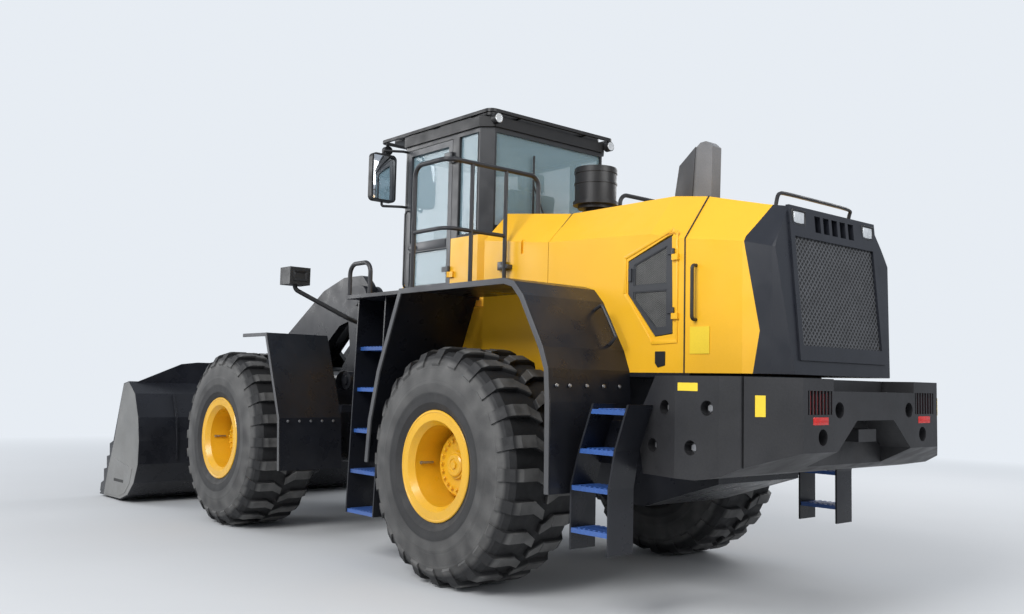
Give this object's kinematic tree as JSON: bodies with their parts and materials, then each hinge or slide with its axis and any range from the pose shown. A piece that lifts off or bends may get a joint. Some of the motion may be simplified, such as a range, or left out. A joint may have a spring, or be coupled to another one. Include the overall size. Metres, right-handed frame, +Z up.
{
  "type": "articulated wheel loader",
  "caption": "Large articulated wheel loader with a wide bucket on a Z-bar boom, cab with roof guard, sloping hood, fenders, ladders and counterweight.",
  "frame": {"origin": "middle of the length and width, at ground level, with the bucket's edge and all tyres on one level", "axes": "+X forward towards the bucket, +Y to the driver's left, +Z up"},
  "size_m": [9.405, 3.4, 3.847],
  "materials": {
    "tyre": "dusty rubber",
    "rim_yellow": "satin paint",
    "body_yellow": "gloss paint",
    "cylinder_yellow": "gloss paint",
    "dark_frame": "satin paint",
    "weight_grey": "dark grey paint",
    "step_blue": "matt paint",
    "glass": "tinted",
    "lamp": "clear lens over black housing",
    "seat_fabric": "woven",
    "dark_plastic": "grained",
    "pin_steel": "ground"
  },
  "bodies": {
    "rear_body": {"cab_base": "body_yellow", "cab_frame": "dark_frame", "cab_glass": "glass", "cab_roof": "dark_frame", "counterweight": "weight_grey", "engine_block": "dark_frame", "entry_rails": "dark_frame", "exhaust": "dark_frame", "front_cowl": "body_yellow", "handrails": "dark_frame", "hinge_pins": "pin_steel", "hood": "body_yellow", "ladders": "step_blue", "mirrors": "dark_frame", "pre_cleaner": "dark_frame", "rear_axle": "dark_frame", "rear_cowl": "body_yellow", "rear_fenders": "dark_frame", "rear_frame": "dark_frame", "rear_grille": "dark_frame", "rear_steps": "dark_frame", "seat": "seat_fabric", "side_decks": "dark_frame", "steering_console": "dark_plastic", "tail_lamps": "lamp", "transmission": "dark_frame"},
    "wheel_front_left": {"tyre_front_left": "tyre", "rim_front_left": "rim_yellow"},
    "wheel_front_right": {"tyre_front_right": "tyre", "rim_front_right": "rim_yellow"},
    "wheel_rear_left": {"tyre_rear_left": "tyre", "rim_rear_left": "rim_yellow"},
    "wheel_rear_right": {"tyre_rear_right": "tyre", "rim_rear_right": "rim_yellow"},
    "boom": {"boom": "dark_frame"},
    "bucket_hinge": {"bucket_pins": "pin_steel"},
    "bucket": {"bucket": "dark_frame"},
    "crank_hinge": {"crank_pin": "pin_steel"},
    "bell_crank": {"bell_crank": "dark_frame"},
    "link_hinge": {"link_pin": "pin_steel"},
    "tilt_link": {"tilt_link": "dark_frame"},
    "tilt_hinge": {"tilt_base_pin": "pin_steel"},
    "tilt_barrel": {"tilt_barrel": "cylinder_yellow"},
    "tilt_piston": {"tilt_piston": "pin_steel"},
    "tilt_rod": {"tilt_rod": "pin_steel"},
    "lift_barrels": {"lift_barrels": "cylinder_yellow"},
    "lift_rods": {"lift_rods": "pin_steel"},
    "steer_barrel_left": {"steer_barrel_left": "cylinder_yellow"},
    "steer_rod_left": {"steer_rod_left": "pin_steel"},
    "steer_barrel_right": {"steer_barrel_right": "cylinder_yellow"},
    "steer_rod_right": {"steer_rod_right": "pin_steel"},
    "cab_door": {"cab_door": "dark_frame", "door_glass": "glass"},
    "vent_door_left": {"vent_door_left": "body_yellow"},
    "vent_door_right": {"vent_door_right": "body_yellow"},
    "front_body": {"front_frame": "dark_frame", "front_axle": "dark_frame", "front_fenders": "dark_frame", "fender_brackets": "dark_frame", "headlamps": "lamp"}
  },
  "joints": [
    {"name": "steer", "type": "hinge", "parent": "rear_body", "child": "front_body", "pos_m": [-0.2275, 0, 0.885], "axis": [0, 0, 1], "range_deg": [-35, 35]},
    {"name": "spin_front_left", "type": "hinge", "parent": "front_body", "child": "wheel_front_left", "pos_m": [1.6225, 1.225, 0.885], "axis": [0, 1, 0], "continuous": true},
    {"name": "spin_front_right", "type": "hinge", "parent": "front_body", "child": "wheel_front_right", "pos_m": [1.6225, -1.225, 0.885], "axis": [0, 1, 0], "continuous": true},
    {"name": "spin_rear_left", "type": "hinge", "parent": "rear_body", "child": "wheel_rear_left", "pos_m": [-2.0775, 1.225, 0.885], "axis": [0, 1, 0], "continuous": true},
    {"name": "spin_rear_right", "type": "hinge", "parent": "rear_body", "child": "wheel_rear_right", "pos_m": [-2.0775, -1.225, 0.885], "axis": [0, 1, 0], "continuous": true},
    {"name": "boom_lift", "type": "hinge", "parent": "front_body", "child": "boom", "pos_m": [0.7225, 0, 2.33], "axis": [0, -1, 0], "range_deg": [0, 74]},
    {"name": "bucket_level", "type": "hinge", "parent": "boom", "child": "bucket_hinge", "pos_m": [3.2925, 0, 0.43], "axis": [0, -1, 0], "range_deg": [-74.2, 0.2]},
    {"name": "bucket_tilt", "type": "hinge", "parent": "bucket_hinge", "child": "bucket", "pos_m": [3.2925, 0, 0.43], "axis": [0, 1, 0], "range_deg": [-35, 45]},
    {"name": "crank_lift", "type": "hinge", "parent": "boom", "child": "crank_hinge", "pos_m": [2.3335, 0, 1.82], "axis": [0, -1, 0], "range_deg": [-0.2, 12.14]},
    {"name": "crank_tilt", "type": "hinge", "parent": "crank_hinge", "child": "bell_crank", "pos_m": [2.3335, 0, 1.82], "axis": [0, -1, 0], "range_deg": [-5.85, 7.46]},
    {"name": "link_lift", "type": "hinge", "parent": "bell_crank", "child": "link_hinge", "pos_m": [2.7225, 0, 0.64], "axis": [0, -1, 0], "range_deg": [-43.07, 0.2]},
    {"name": "link_tilt", "type": "hinge", "parent": "link_hinge", "child": "tilt_link", "pos_m": [2.7225, 0, 0.64], "axis": [0, -1, 0], "range_deg": [-26.27, 20.48]},
    {"name": "tilt_lift", "type": "hinge", "parent": "front_body", "child": "tilt_hinge", "pos_m": [0.9225, 0, 2.12], "axis": [0, -1, 0], "range_deg": [-0.2, 67.07]},
    {"name": "tilt_swing", "type": "hinge", "parent": "tilt_hinge", "child": "tilt_barrel", "pos_m": [0.9225, 0, 2.12], "axis": [0, -1, 0], "range_deg": [-5.36, 4.21]},
    {"name": "tilt_stroke_lift", "type": "slide", "parent": "tilt_barrel", "child": "tilt_piston", "axis": [0.979, 0, 0.2036], "range_m": [-0.001, 0.2514]},
    {"name": "tilt_stroke", "type": "slide", "parent": "tilt_piston", "child": "tilt_rod", "axis": [0.979, 0, 0.2036], "range_m": [-0.0444, 0.0347]},
    {"name": "lift_swing", "type": "hinge", "parent": "front_body", "child": "lift_barrels", "pos_m": [0.6225, 0, 1.5], "axis": [0, -1, 0], "range_deg": [-0.2, 57.73]},
    {"name": "lift_stroke", "type": "slide", "parent": "lift_barrels", "child": "lift_rods", "axis": [0.9999, 0, -0.0143], "range_m": [-0.001, 0.8922]},
    {"name": "steer_swing_left", "type": "hinge", "parent": "rear_body", "child": "steer_barrel_left", "pos_m": [-1.0775, 0.3, 1.08], "axis": [0, 0, 1], "range_deg": [-4.05, 4.05]},
    {"name": "steer_stroke_left", "type": "slide", "parent": "steer_barrel_left", "child": "steer_rod_left", "axis": [0.9995, -0.0309, 0], "range_m": [-0.161, 0.161]},
    {"name": "steer_swing_right", "type": "hinge", "parent": "rear_body", "child": "steer_barrel_right", "pos_m": [-1.0775, -0.3, 1.08], "axis": [0, 0, 1], "range_deg": [-4.05, 4.05]},
    {"name": "steer_stroke_right", "type": "slide", "parent": "steer_barrel_right", "child": "steer_rod_right", "axis": [0.9995, 0.0309, 0], "range_m": [-0.161, 0.161]},
    {"name": "cab_door_swing", "type": "hinge", "parent": "rear_body", "child": "cab_door", "pos_m": [-1.1215, 0.766, 2.95], "axis": [0, 0, 1], "range_deg": [0, 85]},
    {"name": "vent_door_swing_left", "type": "hinge", "parent": "rear_body", "child": "vent_door_left", "pos_m": [-3.6895, 0.811, 2.19], "axis": [0, 0, 1], "range_deg": [0, 90]},
    {"name": "vent_door_swing_right", "type": "hinge", "parent": "rear_body", "child": "vent_door_right", "pos_m": [-3.6895, -0.811, 2.19], "axis": [0, 0, -1], "range_deg": [0, 90]}
  ],
  "couplings": [
    {"joint": "bucket_level", "follows": "boom_lift", "ratio": -1},
    {"joint": "crank_lift", "follows": "boom_lift", "ratio": 0.1613},
    {"joint": "crank_tilt", "follows": "bucket_tilt", "ratio": 0.1613},
    {"joint": "link_lift", "follows": "boom_lift", "ratio": -0.5793},
    {"joint": "link_tilt", "follows": "bucket_tilt", "ratio": -0.5793},
    {"joint": "tilt_lift", "follows": "boom_lift", "ratio": 0.9036},
    {"joint": "tilt_swing", "follows": "bucket_tilt", "ratio": -0.1146},
    {"joint": "tilt_stroke_lift", "follows": "boom_lift", "m_per_rad": 0.1939},
    {"joint": "tilt_stroke", "follows": "bucket_tilt", "m_per_rad": -0.0552},
    {"joint": "lift_swing", "follows": "boom_lift", "ratio": 0.7775},
    {"joint": "lift_stroke", "follows": "boom_lift", "m_per_rad": 0.69},
    {"joint": "steer_swing_left", "follows": "steer", "ratio": 0.11},
    {"joint": "steer_stroke_left", "follows": "steer", "m_per_rad": -0.262},
    {"joint": "steer_swing_right", "follows": "steer", "ratio": 0.11},
    {"joint": "steer_stroke_right", "follows": "steer", "m_per_rad": 0.262}
  ]
}
